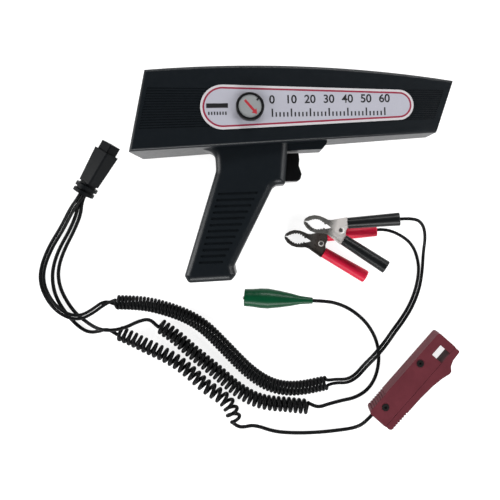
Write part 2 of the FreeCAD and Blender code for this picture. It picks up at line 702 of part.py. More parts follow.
battery_tail = [exit_point(0.0, 1.7), exit_point(0.0, 1.7, 6.0), (-195.3, -73.5, 8.5), (-206.5, -89.0, B),
                (-218.0, -106.0, B), (-225.6, -124.0, B), (-226.0, -138.0, B), (-220.0, -150.5, 3.0),
                (-211.0, -159.0, HUMP), (-201.5, -165.3, HUMP), (-191.0, -166.8, HUMP),
                (-181.0, -162.0, 7.0), (-170.0, -154.3, CA), (-161.0, -154.7, CA)]
battery_coil = [(-161.0, -154.7, CA), (-147.4, -155.3, CA), (-132.8, -157.2, CA), (-115.7, -162.1, CA),
                (-98.8, -169.0, CA), (-84.3, -178.8, CA), (-70.2, -194.0, CA), (-52.7, -213.5, CA),
                (-42.7, -222.4, CA), (-33.4, -228.6, CA), (-24.0, -232.6, CA), (-12.0, -234.6, CA),
                (1.9, -233.6, CA), (10.6, -231.9, CA), (19.5, -230.5, CA)]
battery_front = [(19.5, -230.5, CA), (27.4, -229.26, CA), (37.0, -231.0, 2.6), (45.5, -227.0, B),
                 (53.0, -218.5, B + 0.4), (61.0, -209.0, HUMP), (70.0, -199.2, HUMP), (79.0, -189.5, 2.0),
                 (87.3, -179.5, B), (95.5, -167.0, B), (101.8, -152.0, B), (104.7, -137.0, B)]
pickup_tail = [exit_point(1.6, -1.6), exit_point(1.6, -1.6, 6.0), (-192.3, -77.0, 4.6), (-200.6, -92.0, L),
               (-210.5, -108.0, L), (-216.3, -124.0, L), (-216.8, -138.0, L), (-213.5, -151.0, L),
               (-206.0, -163.5, L), (-196.5, -174.5, L), (-187.5, -180.8, L), (-178.0, -180.2, 3.4),
               (-168.24, -177.17, CC), (-160.0, -180.8, CC)]
pickup_coil = [(-160.0, -180.8, CC), (-150.0, -185.2, CC), (-137.0, -192.5, CC), (-124.3, -198.9, CC),
               (-112.0, -206.0, CC), (-102.8, -213.2, CC), (-95.2, -220.2, CC), (-87.6, -228.0, CC),
               (-79.0, -234.6, CC), (-70.8, -240.2, CC), (-65.4, -247.0, CC), (-62.7, -254.0, CC),
               (-61.4, -261.0, CC)]
pickup_front = [(-61.4, -261.0, CC), (-59.93, -268.87, CC), (-53.0, -274.4, 3.0), (-42.0, -275.4, L),
                (-26.0, -275.6, L), (-8.2, -275.8, L), (12.0, -275.4, L), (31.0, -273.7, L),
                (42.6, -270.9, 4.4), (50.6, -265.5, 8.5), (57.6, -258.1, 8.5)]
signal_tail = [exit_point(-1.6, -1.6), exit_point(-1.6, -1.6, 6.0), (-188.9, -78.0, 4.6), (-197.0, -93.0, L),
               (-206.3, -109.5, L), (-211.8, -125.5, L), (-210.8, -140.0, L), (-204.5, -154.0, L),
               (-197.0, -164.5, L), (-188.5, -171.0, 2.6), (-179.0, -174.8, 10.0),
               (-169.0, -176.2, OVER), (-158.0, -176.6, OVER), (-149.0, -174.6, OVER - 1.2),
               (-140.5, -171.0, 12.0), (-131.95, -169.8, CB), (-123.8, -175.6, CB)]
signal_coil = [(-123.8, -175.6, CB), (-112.0, -184.0, CB), (-99.4, -196.4, CB), (-86.2, -208.2, CB),
               (-73.2, -219.6, CB), (-60.6, -231.8, CB), (-48.4, -240.2, CB), (-38.0, -244.6, CB),
               (-28.6, -246.6, CB), (-17.5, -247.8, CB), (-6.4, -249.4, CB), (3.0, -250.6, CB)]
signal_front = [(3.0, -250.6, CB), (10.94, -251.61, CB), (20.5, -250.0, 2.8), (32.5, -247.8, L),
                (44.0, -245.8, L), (55.5, -239.0, L), (63.0, -227.0, L), (66.1, -211.2, L),
                (64.0, -195.5, L), (56.5, -181.5, L), (46.8, -172.0, L), (38.0, -166.2, L),
                (28.0, -161.7, 5.2), (18.27, -159.67, 8.7), (9.3, -158.95, 8.7)]

STRAND = 1.5
positive_ends = beside(battery_tail, STRAND)
negative_ends = beside(battery_tail, -STRAND)
cord("negative_tail", negative_ends, dim("battery_cord"))
cord("positive_tail", positive_ends, dim("battery_cord"))
cord("battery_coil", battery_coil, dim("battery_coil_size"))
positive_front = beside(battery_front, STRAND)
positive_front += [(102.4, -127.0, B), (99.3, -117.0, 2.4), (92.0, -108.0, 4.6)]
positive_front += [clip_point(RED, 9.0), clip_point(RED)]
negative_front = beside(battery_front, -STRAND)
negative_front += [(107.0, -121.0, 3.6), (107.5, -107.5, 11.5), (104.0, -96.5, 20.0)]
negative_front += [clip_point(BLACK, 12.0), clip_point(BLACK)]
cord("negative_front", negative_front, dim("battery_cord"))
cord("positive_front", positive_front, dim("battery_cord"))
cord("pickup_tail", pickup_tail, dim("signal_cord"))
cord("pickup_coil", pickup_coil, dim("pickup_coil_size"))
cord("pickup_front", pickup_front, dim("signal_cord"))
cord("signal_tail", signal_tail, dim("signal_cord"))
cord("signal_coil", signal_coil, dim("signal_coil_size"))
cord("signal_front", signal_front, dim("signal_cord"))

# ---------------------------------------------------------------- battery clips
W = dim("clip_half")
T = dim("clip_sheet")
ARM_START = vec(4.0, 7.2)
ARM_HEADING = vec(math.cos(math.radians(dim("clip_angle"))), math.sin(math.radians(dim("clip_angle"))))
ARM_SIDE = vec(-ARM_HEADING.y, ARM_HEADING.x)
SPINE = [(-32.0, 0.45), (-31.2, 2.4), (-28.5, 5.0), (-24.5, 6.9), (-20.0, 7.3), (-16.0, 6.7),
         (-12.6, 5.9), (-9.8, 6.3), (2.3, 11.8)]


def arm_point(reach, side):
    """Point on a clip handle, from its start along and across its line."""
    spot = ARM_START + ARM_HEADING * reach + ARM_SIDE * side
    return (spot.x, spot.y)


def inner_side(spine, depth):
    """Spine moved inwards by a depth."""
    moved = []
    for i in range(len(spine)):
        a = spine[max(i - 1, 0)]
        b = spine[min(i + 1, len(spine) - 1)]
        size = math.hypot(b[0] - a[0], b[1] - a[1])
        moved.append((spine[i][0] + depth * (b[1] - a[1]) / size,
                      spine[i][1] - depth * (b[0] - a[0]) / size))
    return moved


def lever_steps(cheek_out, cheek_in):
    """Pads of one sheet lever: full width spine, narrower tongue and two toothed cheeks."""
    strip = SPINE + list(reversed(inner_side(SPINE, T)))
    steps = [("add", strip, 0.0, "0 - dims.clip_half", "dims.clip_half * 2")]
    tongue = [arm_point(-5.0, 1.0), arm_point(35.0, 1.0), arm_point(35.0, 2.0), arm_point(-5.0, 2.0)]
    steps.append(("add", tongue, 0.0, "0 - 3.2", "6.4"))
    neck = [arm_point(-4.0, 1.0), arm_point(-0.6, 1.0), arm_point(-0.6, 2.0), arm_point(-4.0, 2.0)]
    steps.append(("add", neck, 0.0, "0 - %s" % cheek_out, "%s * 2" % cheek_out))
    cheek = [(-31.0, 0.4)]
    for number in range(8):
        x = -29.2 + 2.1 * number
        height = 0.9 + 4.0 * math.sin(math.pi * (number + 0.6) / 8.6)
        cheek.append((x, height - 1.0))
        cheek.append((x + 1.0, height))
    cheek += [(-10.2, 0.9), (-4.0, -2.4), (-1.6, -3.3), (1.6, -3.3), (3.6, -1.4),
              arm_point(-0.4, -3.6), arm_point(-0.4, 3.7)]
    cheek += [(1.9, 11.2), (-9.8, 5.7), (-12.6, 5.3), (-16.0, 6.1), (-20.0, 6.7), (-24.3, 6.3),
              (-28.0, 4.5), (-30.5, 2.0)]
    for base in ("%s" % cheek_in, "0 - %s" % cheek_out):
        steps.append(("add", cheek, 0.0, base, "dims.clip_sheet"))
    hole = [(1.75 * math.cos(math.pi * k / 6), 1.75 * math.sin(math.pi * k / 6)) for k in range(12)]
    steps.append(("cut", hole, 0.0, "0 - dims.clip_half - 1", "dims.clip_half * 2 + 2"))
    return steps


def oval_ring(reach, wide, tall):
    """Ellipse across a clip handle at a distance along it."""
    ring = Part.Ellipse(vec(0, 0, 0), max(wide, tall), min(wide, tall)).toShape()
    wire = Part.Wire(ring)
    first = vec(0, 0, 1) if tall >= wide else ARM_SIDE
    turn = FreeCAD.Rotation(first, vec(0, 0, 0), ARM_HEADING, "XZY")
    wire.Placement = FreeCAD.Placement(ARM_START + ARM_HEADING * reach, turn)
    return wire


def sleeve_shape(length):
    """Vinyl sleeve over one handle, open at the pivot end."""
    outer = Part.makeLoft([oval_ring(0.0, 4.6, 5.6), oval_ring(length, 5.5, 5.7)], True)
    inner = Part.makeLoft([oval_ring(-1.0, 3.6, 4.6), oval_ring(length - 1.6, 4.4, 4.6)], True)
    far = [edge for edge in outer.Edges
           if abs((edge.CenterOfMass - ARM_START).dot(ARM_HEADING) - length) < 0.1]
    return outer.makeFillet(0.9, far).cut(inner)


def battery_clip(name, base):
    """Two levers, sleeves and torsion spring of one battery clip."""
    prisms(name + "_jaw_fixed", base, lever_steps("dims.clip_half", "(dims.clip_half - 1)"))
    flip = base.multiply(place(0, 0, 0, 0, 0, 180))
    prisms(name + "_jaw_moving", flip, lever_steps("(dims.clip_half - 1.35)", "(dims.clip_half - 2.35)"))
    solid(name + "_sleeve_fixed", sleeve_shape(dim("arm_length")), base)
    solid(name + "_sleeve_moving", sleeve_shape(dim("arm_length") - 1.0), flip)
    helix = Part.makeHelix(1.4, 4.2, 2.9)
    ring = Part.Wire(Part.Circle(vec(2.9, 0, 0), vec(0, 1, 0.08), 0.6).toShape())
    coil = Part.Wire(helix).makePipeShell([ring], True, True)
    coil.translate(vec(0, 0, -2.1))
    legs = []
    for side in (1, -1):
        level = -2.1 * side
        mouth = arm_point(-1.2, -2.7)
        hold = arm_point(8.0, 0.3)
        legs.append(rod(0.6, vec(2.9, 0, level), vec(mouth[0], mouth[1] * side, level)))
        legs.append(rod(0.6, vec(mouth[0], mouth[1] * side, level), vec(hold[0], hold[1] * side, level)))
    solid(name + "_spring", coil.fuse(legs), base)
    return rod(1.6, vec(0, 0, -W - 0.4), vec(0, 0, W + 0.4))


rivets = []
for name, frame in (("red", RED), ("black", BLACK)):
    pin = battery_clip(name, frame)
    pin.Placement = frame
    rivets.append(pin)

# ---------------------------------------------------------------- green signal clip
SIGNAL = place(-51.0, -154.1, 8.7, -4.6, 0, 0)


def small_jaw(side):
    """Half round sheet jaw of the small clip, along +X from its tip."""
    outer = [(0.3, 0.35 * side), (2.5, 2.8 * side), (10.0, 3.5 * side), (20.0, 4.6 * side),
             (34.0, 3.9 * side), (34.0, 3.2 * side), (20.0, 3.9 * side), (10.0, 2.8 * side),
             (3.0, 2.1 * side), (1.2, 0.35 * side)]
    if side < 0:
        outer.reverse()
    return outer


CHEEK = [(17.0, 2.0), (21.0, -1.8), (25.0, -1.8), (29.0, 2.0), (29.0, 4.2), (20.0, 4.2), (17.0, 3.8)]
CHEEK_LOW = [(x, -y) for x, y in reversed(CHEEK)]
SMALL_PIN = 0.9
pin_hole = []
for k in range(12):
    angle = math.pi * k / 6
    pin_hole.append((23.0 + 1.12 * SMALL_PIN * math.cos(angle), 1.12 * SMALL_PIN * math.sin(angle)))
prisms("signal_jaw_fixed", SIGNAL, [
    ("add", small_jaw(1), 0.0, "0 - 3.4", "6.8"),
    ("add", CHEEK, 0.0, "2.8", "0.6"),
    ("add", CHEEK, 0.0, "0 - 3.4", "0.6"),
    ("cut", pin_hole, 0.0, "0 - 4", "8"),
])
prisms("signal_jaw_moving", SIGNAL, [
    ("add", small_jaw(-1), 0.0, "0 - 2.4", "4.8"),
    ("add", CHEEK_LOW, 0.0, "1.8", "0.6"),
    ("add", CHEEK_LOW, 0.0, "0 - 2.4", "0.6"),
    ("cut", pin_hole, 0.0, "0 - 4", "8"),
])
rivet = rod(SMALL_PIN, vec(23.0, 0, -3.9), vec(23.0, 0, 3.9))
rivet.Placement = SIGNAL
rivets.append(rivet)
small_helix = Part.makeHelix(0.8, 2.4, 1.5)
small_ring = Part.Wire(Part.Circle(vec(1.5, 0, 0), vec(0, 1, 0.08), 0.3).toShape())
small_coil = Part.Wire(small_helix).makePipeShell([small_ring], True, True)
small_coil.translate(vec(23.0, 0, -1.2))
small_legs = []
for side in (1, -1):
    small_legs.append(rod(0.3, vec(24.5, 0, 1.2 * side), vec(33.0, 2.7 * side, 1.2 * side)))
solid("signal_spring", small_coil.fuse(small_legs), SIGNAL)
BOOT_L = dim("boot_length")
boot_profile = [(1.9, 7.3), (9.0, 7.7), (16.0, 8.5), (22.0, 8.6), (32.0, 7.2), (42.0, 5.4),
                (50.0, 3.6), (1.9 + BOOT_L, 2.6)]
ring_points = boot_profile + [(1.9 + BOOT_L, 1.2), (46.0, 1.2), (41.0, 4.0), (32.0, 6.0), (22.0, 7.4),
                              (16.0, 7.3), (9.0, 6.5), (1.9, 6.1)]
boot_face = Part.Face(Part.makePolygon([vec(x, r) for x, r in ring_points + [ring_points[0]]]))
boot_shape = boot_face.revolve(vec(0, 0, 0), vec(1, 0, 0), 360)
solid("signal_boot", boot_shape, SIGNAL)
solid("clip_rivets", Part.makeCompound(rivets))

# ---------------------------------------------------------------- inductive clamp
CLAMP = place(60.0, -265.0, 0.0, dim("clamp_turn"), 0, 0)
LEFT = dim("clamp_left")
SEAM = dim("clamp_seam")
HEAD = dim("clamp_head")
AL = dim("aperture_low")
AH = dim("aperture_high")
AT = dim("aperture_left")
RAIL = SEAM + 4.0
case_outline = [(3.4, SEAM), (HEAD, SEAM), (HEAD, LEFT), (3.4, LEFT)]
case_round = [0, 0, 2.4, 3.0]
aperture = [(AL, SEAM - 1.0), (AH, SEAM - 1.0), (AH, AT), (AL, AT)]
rail_room = [(22.0, SEAM - 1.0), (AL - 1.8, SEAM - 1.0), (AL - 1.8, RAIL + 0.35), (22.0, RAIL + 0.35)]
core_room = [(71.2, SEAM + 0.8), (AL - 1.2, SEAM + 0.8), (AL - 1.2, AT + 1.2), (AH + 1.2, AT + 1.2),
             (AH + 1.2, SEAM + 0.8), (90.4, SEAM + 0.8), (90.4, 10.2), (71.2, 10.2)]
pocket_room = [(30.0, 0.5), (66.0, 0.5), (66.0, 10.0), (30.0, 10.0)]
RIDGE_COUNT = 7
RIDGE_STEP = 2.6


def ridge_cuts(edge, outside):
    """Finger grooves across one long side of the clamp, near its tail."""
    cuts = []
    for number in range(RIDGE_COUNT):
        x = 7.5 + RIDGE_STEP * number
        low = min(edge, outside)
        high = max(edge, outside)
        cuts.append(("cut", [(x, low), (x + 1.2, low), (x + 1.2, high), (x, high)], 0.0, "0 - 1", "20"))
    return cuts


prisms("clamp_case_lower", CLAMP, [
    ("add", case_outline, case_round, "0", "dims.clamp_thick / 2"),
    ("cut", aperture, 0.0, "0 - 1", "20"),
    ("cut", rail_room, 0.0, "4.6", "10"),
    ("cut", core_room, 0.0, "3.4", "10"),
    ("cut", pocket_room, 1.0, "2.4", "10"),
] + ridge_cuts(LEFT - 0.6, LEFT + 1.0))
CLAMP_SCREWS = [(63.2, 7.2), (16.0, 4.8)]
SCREW_HEAD = 3.0
upper_steps = [
    ("add", case_outline, case_round, "dims.clamp_thick / 2", "dims.clamp_thick / 2"),
    ("cut", aperture, 0.0, "0 - 1", "20"),
    ("cut", rail_room, 0.0, "8", "4.4"),
    ("cut", core_room, 0.0, "8", "5.6"),
    ("cut", pocket_room, 1.0, "8", "6.6"),
]
for x, y in CLAMP_SCREWS:
    half = SCREW_HEAD + 0.05
    seat = [(x - half, y - half), (x + half, y - half), (x + half, y + half), (x - half, y + half)]
    upper_steps.append(("cut", seat, half - 0.001, "dims.clamp_thick - 0.6", "2"))
prisms("clamp_case_upper", CLAMP, upper_steps + ridge_cuts(LEFT - 0.6, LEFT + 1.0))
slider_outline = [(3.8, SEAM - 0.3), (3.8, -12.1), (41.0, -12.6), (56.6, -13.7), (66.0, -15.4),
                  (73.2, -17.6), (75.4, -17.2), (78.6, -14.0), (83.5, -12.1), (93.0, -11.5),
                  (93.0, SEAM - 0.3)]
slider_round = [0, 3, 20, 12, 10, 0.7, 0.7, 4, 4, 1.6, 0]
prisms("clamp_slider", CLAMP, [
    ("add", slider_outline, slider_round, "0.3", "dims.clamp_thick - 0.6"),
    ("add", [(44.0, SEAM - 0.4), (70.9, SEAM - 0.4), (70.9, RAIL), (44.0, RAIL)], 0.0, "5", "7"),
    ("cut", [(70.0, SEAM - 3.8), (91.0, SEAM - 3.8), (91.0, SEAM - 1.0), (70.0, SEAM - 1.0)],
     0.0, "3.6", "9.8"),
] + ridge_cuts(-11.7, -13.5))
prisms("core_fixed", CLAMP, [
    ("add", [(71.4, SEAM + 1.0), (AL - 1.3, SEAM + 1.0), (AL - 1.3, AT + 1.4), (AH + 1.3, AT + 1.4),
             (AH + 1.3, SEAM + 1.0), (90.2, SEAM + 1.0), (90.2, 10.0), (71.4, 10.0)], 0.0, "3.6", "9.8"),
])
prisms("core_moving", CLAMP, [
    ("add", [(70.1, SEAM - 3.7), (90.9, SEAM - 3.7), (90.9, SEAM - 1.1), (70.1, SEAM - 1.1)],
     0.0, "3.7", "9.6"),
])
winding = slab([(58.0, 4.0), (65.0, 4.0), (65.0, 9.4), (58.0, 9.4)], 4.6, 12.4, 1.0)
solid("pickup_winding", winding, CLAMP)
clamp_spring_place = CLAMP.multiply(place(22.2, SEAM + 2.0, 8.5, 0, 90, 0))
solid("clamp_spring", spring_shape(1.3, 0.6, 2.6, 21.4), clamp_spring_place)
clamp_screws = []
for x, y in CLAMP_SCREWS:
    head = rod(SCREW_HEAD, vec(x, y, dim("clamp_thick") - 0.6), vec(x, y, dim("clamp_thick") + 0.5))
    recess = rod(1.1, vec(x, y, dim("clamp_thick") - 0.3), vec(x, y, dim("clamp_thick") + 1.0))
    clamp_screws.append(head.cut(recess))
solid("clamp_screws", Part.makeCompound(clamp_screws), CLAMP)

# ---------------------------------------------------------------- checks and export
doc.recompute()
os.makedirs("parts", exist_ok=True)
for item in nodes:
    if "Invalid" in item.State or "Error" in item.State:
        raise RuntimeError("feature in error: " + item.Label)
    shape = item.Shape
    if shape.isNull() or not shape.isValid():
        raise RuntimeError("bad shape: " + item.Label)
    shape.exportStep("parts/%s.step" % item.Label)
    size = shape.optimalBoundingBox(True, False)
    print("%-22s solids %d  x %7.1f %7.1f  y %7.1f %7.1f  z %6.2f %6.2f  volume %9.1f" % (
        item.Label, len(shape.Solids), size.XMin, size.XMax, size.YMin, size.YMax,
        size.ZMin, size.ZMax, shape.Volume))
print("nodes", len(nodes))
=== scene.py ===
import bpy
import json
import math
from mathutils import Matrix, Vector


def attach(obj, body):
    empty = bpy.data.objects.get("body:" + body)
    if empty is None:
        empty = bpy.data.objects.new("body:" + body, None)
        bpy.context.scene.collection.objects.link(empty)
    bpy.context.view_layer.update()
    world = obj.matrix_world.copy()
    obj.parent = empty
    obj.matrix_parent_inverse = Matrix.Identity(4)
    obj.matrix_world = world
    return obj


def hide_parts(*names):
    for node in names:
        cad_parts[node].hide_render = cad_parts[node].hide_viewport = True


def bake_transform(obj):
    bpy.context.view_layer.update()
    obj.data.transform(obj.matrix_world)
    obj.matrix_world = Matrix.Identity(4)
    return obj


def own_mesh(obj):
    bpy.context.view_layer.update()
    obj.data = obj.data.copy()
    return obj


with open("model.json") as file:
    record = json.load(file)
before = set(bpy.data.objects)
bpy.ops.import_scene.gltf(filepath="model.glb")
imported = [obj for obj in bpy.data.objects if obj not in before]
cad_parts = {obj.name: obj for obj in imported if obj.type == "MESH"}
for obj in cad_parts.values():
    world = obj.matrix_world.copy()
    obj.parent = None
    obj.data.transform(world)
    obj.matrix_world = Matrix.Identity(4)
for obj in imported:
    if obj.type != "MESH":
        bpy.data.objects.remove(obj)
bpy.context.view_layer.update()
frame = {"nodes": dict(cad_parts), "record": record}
MM = 0.001
record = frame["record"]
scene = bpy.context.scene

# ------------------------------------------------------------------ camera, light, floor
WALLS = 0.42
WALL_TOP = 0.10
CEILING = 0.10
CEILING_EDGE = 0.75
FLOOR_GREY = 0.30
FLOOR_GLOW = 0.86
FLOOR_REACH = 3.0
FLOOR_DROP = 0.0002
BENCH_MIDDLE = (-0.02, -0.10, 0.0)


def make_camera():
    """Camera straight above the bench, a little off the middle of the object."""
    data = bpy.data.cameras.new("camera")
    data.sensor_width = 36.0
    data.lens = 40.3
    data.shift_x = -0.082
    data.shift_y = -0.064
    camera = bpy.data.objects.new("camera", data)
    camera.location = (-0.0068, -0.0873, 0.490)
    camera.rotation_euler = (0.0, 0.0, math.radians(-2.0))
    scene.collection.objects.link(camera)
    scene.camera = camera


def area_light(name, place, size, power):
    """Rectangular softbox that looks at the middle of the bench."""
    data = bpy.data.lights.new(name, "AREA")
    data.shape = "RECTANGLE"
    data.size = size[0]
    data.size_y = size[1]
    data.energy = power
    lamp = bpy.data.objects.new(name, data)
    lamp.location = place
    aim = Vector(BENCH_MIDDLE) - Vector(place)
    lamp.rotation_euler = aim.to_track_quat("-Z", "Y").to_euler()
    scene.collection.objects.link(lamp)


def make_world():
    """Bright walls all round and a dark ceiling, so that flat tops stay deep."""
    world = bpy.data.worlds.new("studio")
    world.use_nodes = True
    tree = world.node_tree
    background = tree.nodes["Background"]
    where = tree.nodes.new("ShaderNodeTexCoord")
    parts = tree.nodes.new("ShaderNodeSeparateXYZ")
    fade = tree.nodes.new("ShaderNodeValToRGB")
    low, high = fade.color_ramp.elements
    low.position = WALL_TOP
    low.color = (1.0, 1.0, 1.0, 1.0)
    high.position = CEILING_EDGE
    high.color = (CEILING, CEILING, CEILING * 1.05, 1.0)
    tree.links.new(where.outputs["Generated"], parts.inputs["Vector"])
    tree.links.new(parts.outputs["Z"], fade.inputs["Fac"])
    tree.links.new(fade.outputs["Color"], background.inputs["Color"])
    background.inputs["Strength"].default_value = WALLS
    scene.world = world


def make_lights():
    """One softbox on each side of the bench, all of them low."""
    area_light("softbox_low", (-0.15, -1.30, 0.62), (1.3, 0.35), 30.0)
    area_light("softbox_left", (-1.35, 0.10, 0.62), (0.35, 1.2), 22.0)
    area_light("softbox_high", (0.30, 1.15, 0.75), (1.2, 0.35), 22.0)
    area_light("softbox_right", (1.30, -0.20, 0.70), (0.35, 1.1), 18.0)
    scene.view_settings.view_transform = "Standard"
    scene.view_settings.look = "None"


def make_floor():
    """Wide white bench top with a glow of its own, just under the object."""
    mesh = bpy.data.meshes.new("floor")
    corners = [(u * FLOOR_REACH, v * FLOOR_REACH, 0) for u, v in ((-1, -1), (1, -1), (1, 1), (-1, 1))]
    mesh.from_pydata(corners, [], [(0, 1, 2, 3)])
    floor = bpy.data.objects.new("floor", mesh)
    floor.location = (0, 0, -FLOOR_DROP)
    scene.collection.objects.link(floor)
    material = bpy.data.materials.new("floor_white")
    material.use_nodes = True
    shader = material.node_tree.nodes["Principled BSDF"]
    shader.inputs["Base Color"].default_value = (FLOOR_GREY, FLOOR_GREY, FLOOR_GREY, 1.0)
    shader.inputs["Roughness"].default_value = 0.9
    shader.inputs["Specular IOR Level"].default_value = 0.1
    shader.inputs["Emission Color"].default_value = (1.0, 1.0, 1.0, 1.0)
    shader.inputs["Emission Strength"].default_value = FLOOR_GLOW
    mesh.materials.append(material)


# ------------------------------------------------------------------ materials
MOTTLE_SCALE = 90.0
WEAR_SCALE = 260.0
# Colour sockets of a mix.
MIX_A = 6
MIX_B = 7
MIX_RESULT = 2


def noise(tree, where, scale, detail):
    """Noise over the object's own coordinates."""
    node = tree.nodes.new("ShaderNodeTexNoise")
    node.inputs["Scale"].default_value = scale
    node.inputs["Detail"].default_value = detail
    tree.links.new(where.outputs["Object"], node.inputs["Vector"])
    return node


def finish_material(name, color, rough, metallic=0.0, grain=0.0, grain_size=0.6, mottle=0.12,
                    rough_mottle=0.06, specular=0.5, transmission=0.0, ior=1.5):
    """Principled material with fine surface grain, slow colour mottling and gloss variation.

    grain is the bump height and grain_size the size of its bumps, both in millimetres.
    """
    material = bpy.data.materials.new(name)
    material.use_nodes = True
    tree = material.node_tree
    shader = tree.nodes["Principled BSDF"]
    shader.inputs["Metallic"].default_value = metallic
    shader.inputs["Specular IOR Level"].default_value = specular
    shader.inputs["Transmission Weight"].default_value = transmission
    shader.inputs["IOR"].default_value = ior
    where = tree.nodes.new("ShaderNodeTexCoord")
    slow = noise(tree, where, MOTTLE_SCALE, 4.0)
    tint = tree.nodes.new("ShaderNodeMix")
    tint.data_type = "RGBA"
    dark = [channel * (1.0 - mottle) for channel in color]
    light = [min(channel * (1.0 + mottle), 1.0) for channel in color]
    tint.inputs[MIX_A].default_value = (*dark, 1.0)
    tint.inputs[MIX_B].default_value = (*light, 1.0)
    tree.links.new(slow.outputs["Fac"], tint.inputs["Factor"])
    tree.links.new(tint.outputs[MIX_RESULT], shader.inputs["Base Color"])
    gloss = tree.nodes.new("ShaderNodeMapRange")
    gloss.inputs["To Min"].default_value = max(rough - rough_mottle, 0.02)
    gloss.inputs["To Max"].default_value = min(rough + rough_mottle, 1.0)
    wear = noise(tree, where, WEAR_SCALE, 5.0)
    tree.links.new(wear.outputs["Fac"], gloss.inputs["Value"])
    tree.links.new(gloss.outputs["Result"], shader.inputs["Roughness"])
    if grain > 0:
        fine = noise(tree, where, 1.0 / (grain_size * MM), 2.0)
        bump = tree.nodes.new("ShaderNodeBump")
        bump.inputs["Strength"].default_value = 1.0
        bump.inputs["Distance"].default_value = grain * MM
        tree.links.new(fine.outputs["Fac"], bump.inputs["Height"])
        tree.links.new(bump.outputs["Normal"], shader.inputs["Normal"])
    return material


def frame_at(x, y, z, turn, tilt=0.0):
    """Placement from a position, a heading and an upward tilt in degrees."""
    yaw = Matrix.Rotation(math.radians(turn), 4, "Z")
    pitch = Matrix.Rotation(math.radians(-tilt), 4, "Y")
    return Matrix.Translation((x, y, z)) @ yaw @ pitch


# Battery clips, in millimetres: the origin is the rivet and -X points to the teeth.
RED = frame_at(18.2, -110.1, 5.7, -13.5)
BLACK = frame_at(34.9, -99.1, 20.5, -16.2, 8.0)
# Their metal: colours, and in metres the rivet's edge and where the jaws' polish and painted reflection
# start and are full.
# The red clip's colours are painted shade, dark as if that clip lay in shadow, and its jaws' colour is
# painted reflection as well.
# The black clip's plate colour is its own. Its jaws' darker colour is painted reflection of dark
# surroundings.
# The rivet colour is a painted highlight on its dome.
RED_PLATE_PAINTED_SHADE = (0.060, 0.050, 0.045)
RED_JAW_PAINTED_SHADE_AND_REFLECTION = (0.17, 0.16, 0.15)
BLACK_PLATE = (0.58, 0.55, 0.53)
BLACK_JAW_PAINTED_REFLECTION = (0.36, 0.35, 0.33)
RIVET_PAINTED_HIGHLIGHT = (0.80, 0.78, 0.75)
RIVET_EDGE = (0.0026, 0.0022)
JAW_START = 0.004
JAW_FULL = 0.011


def vector_math(tree, operation, first, second=None):
    """Vector arithmetic on an output and, for most operations, a constant."""
    node = tree.nodes.new("ShaderNodeVectorMath")
    node.operation = operation
    tree.links.new(first, node.inputs[0])
    if second is not None:
        node.inputs[1].default_value = second
    return node


def ramp_between(tree, value, start, end, low=0.0, high=1.0):
    """Output that runs from low to high while the value runs from start to end."""
    node = tree.nodes.new("ShaderNodeMapRange")
    node.inputs["From Min"].default_value = start
    node.inputs["From Max"].default_value = end
    node.inputs["To Min"].default_value = low
    node.inputs["To Max"].default_value = high
    tree.links.new(value.outputs["Value"], node.inputs["Value"])
    return node.outputs["Result"]


def tinted(tree, colour, tint):
    """Colour mix whose second colour is a constant, at full strength."""
    mix = tree.nodes.new("ShaderNodeMix")
    mix.data_type = "RGBA"
    mix.inputs["Factor"].default_value = 1.0
    mix.inputs[MIX_B].default_value = (*tint, 1.0)
    tree.links.new(colour, mix.inputs[MIX_A])
    return mix


def clip_metal(name, plate, jaw_painted_light, base):
    """Sheet metal of a battery clip: plain plate colour by the rivet, which is painted shade on the red
    clip; a painted highlight on the rivet itself; towards the teeth a colour of painted reflection,
    darker on the black clip, where the metal also grows more polished.
    """
    material = finish_material(name, (1.0, 1.0, 1.0), 0.30, mottle=0.16, rough_mottle=0.12)
    tree = material.node_tree
    shader = tree.nodes["Principled BSDF"]
    mottled = shader.inputs["Base Color"].links[0].from_socket
    pivot = base.translation * MM
    heading = base.to_3x3() @ Vector((-1.0, 0.0, 0.0))
    where = tree.nodes.new("ShaderNodeTexCoord")
    offset = vector_math(tree, "SUBTRACT", where.outputs["Object"], pivot)
    forward = vector_math(tree, "DOT_PRODUCT", offset.outputs["Vector"], heading)
    flat = vector_math(tree, "MULTIPLY", offset.outputs["Vector"], (1.0, 1.0, 0.0))
    away = vector_math(tree, "LENGTH", flat.outputs["Vector"])
    # plate colour over the mottling; on the red clip it is painted shade
    mix = tinted(tree, mottled, plate)
    mix.blend_type = "MULTIPLY"
    # painted reflection towards the teeth, then the painted highlight round the rivet
    for tint, share in ((jaw_painted_light, ramp_between(tree, forward, JAW_START, JAW_FULL)),
                        (RIVET_PAINTED_HIGHLIGHT, ramp_between(tree, away, *RIVET_EDGE))):
        mix = tinted(tree, mix.outputs[MIX_RESULT], tint)
        tree.links.new(share, mix.inputs["Factor"])
    tree.links.new(mix.outputs[MIX_RESULT], shader.inputs["Base Color"])
    polish = ramp_between(tree, forward, JAW_START, JAW_FULL, 0.45, 0.95)
    tree.links.new(polish, shader.inputs["Metallic"])
    return material


